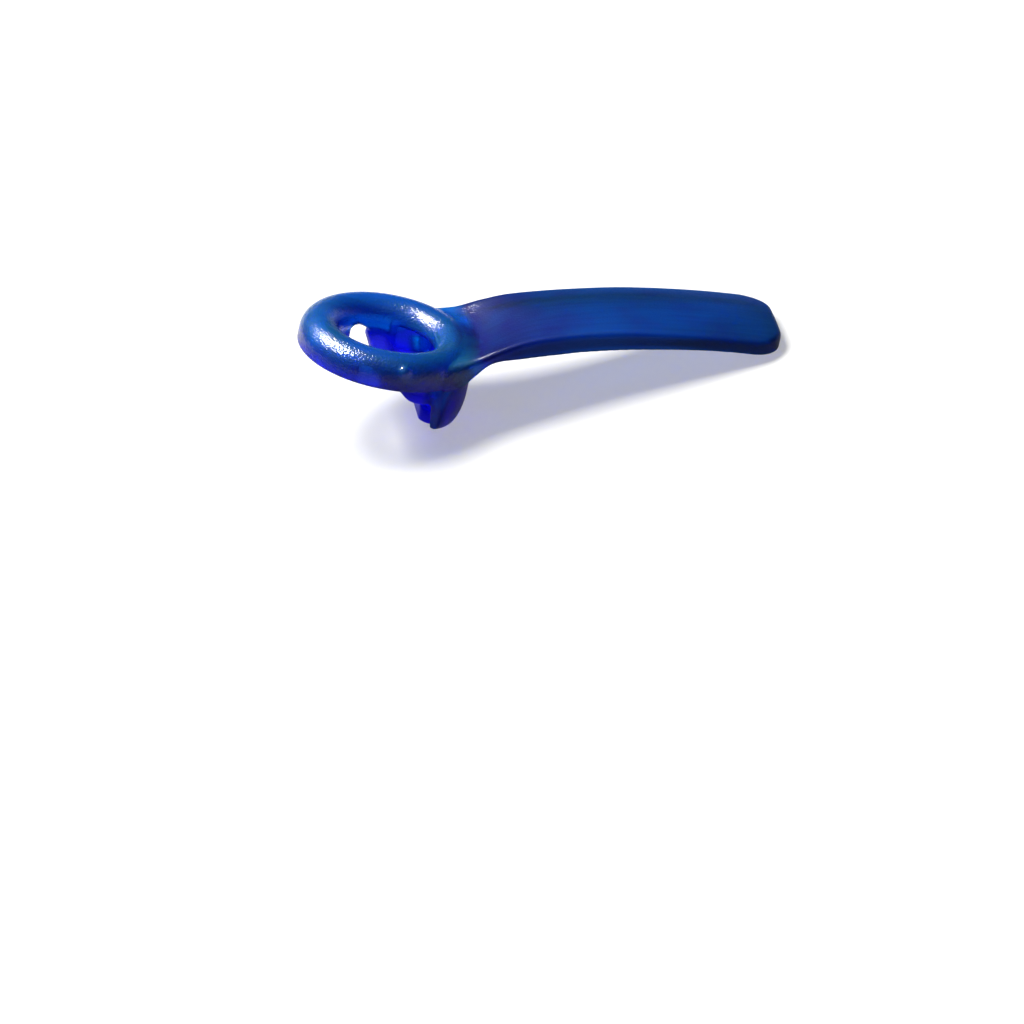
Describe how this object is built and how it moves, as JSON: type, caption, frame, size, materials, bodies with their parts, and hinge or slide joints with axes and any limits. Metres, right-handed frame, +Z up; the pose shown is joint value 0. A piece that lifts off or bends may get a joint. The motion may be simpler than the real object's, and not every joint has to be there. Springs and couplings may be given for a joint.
{
  "type": "jar lid lifter",
  "caption": "Translucent blue plastic lid lifter: a ring head over a hooked claw with a lifting lip, and a wide curved channel handle.",
  "frame": {"origin": "centre of the bounding box, on the table that the tool lies on", "axes": "+Z up as the tool lies on the claw's heel and the handle's end, +X along the handle from the ring to the handle's end, +Y to the handle's left"},
  "size_m": [0.118, 0.045, 0.0346],
  "materials": {
    "translucent_blue": "translucent blue moulding, finely spark-eroded satin surface"
  },
  "bodies": {
    "root": {"head_ring": "translucent_blue", "gate_nub": "translucent_blue", "front_foot": "translucent_blue", "claw_rear_wall": "translucent_blue", "claw_prong_right": "translucent_blue", "claw_prong_left": "translucent_blue", "lifting_lip": "translucent_blue", "jaw_plate": "translucent_blue", "jaw_cheek_right": "translucent_blue", "jaw_cheek_left": "translucent_blue", "handle_top": "translucent_blue", "handle_flange_right": "translucent_blue", "handle_flange_left": "translucent_blue", "handle_end": "translucent_blue"}
  },
  "joints": []
}
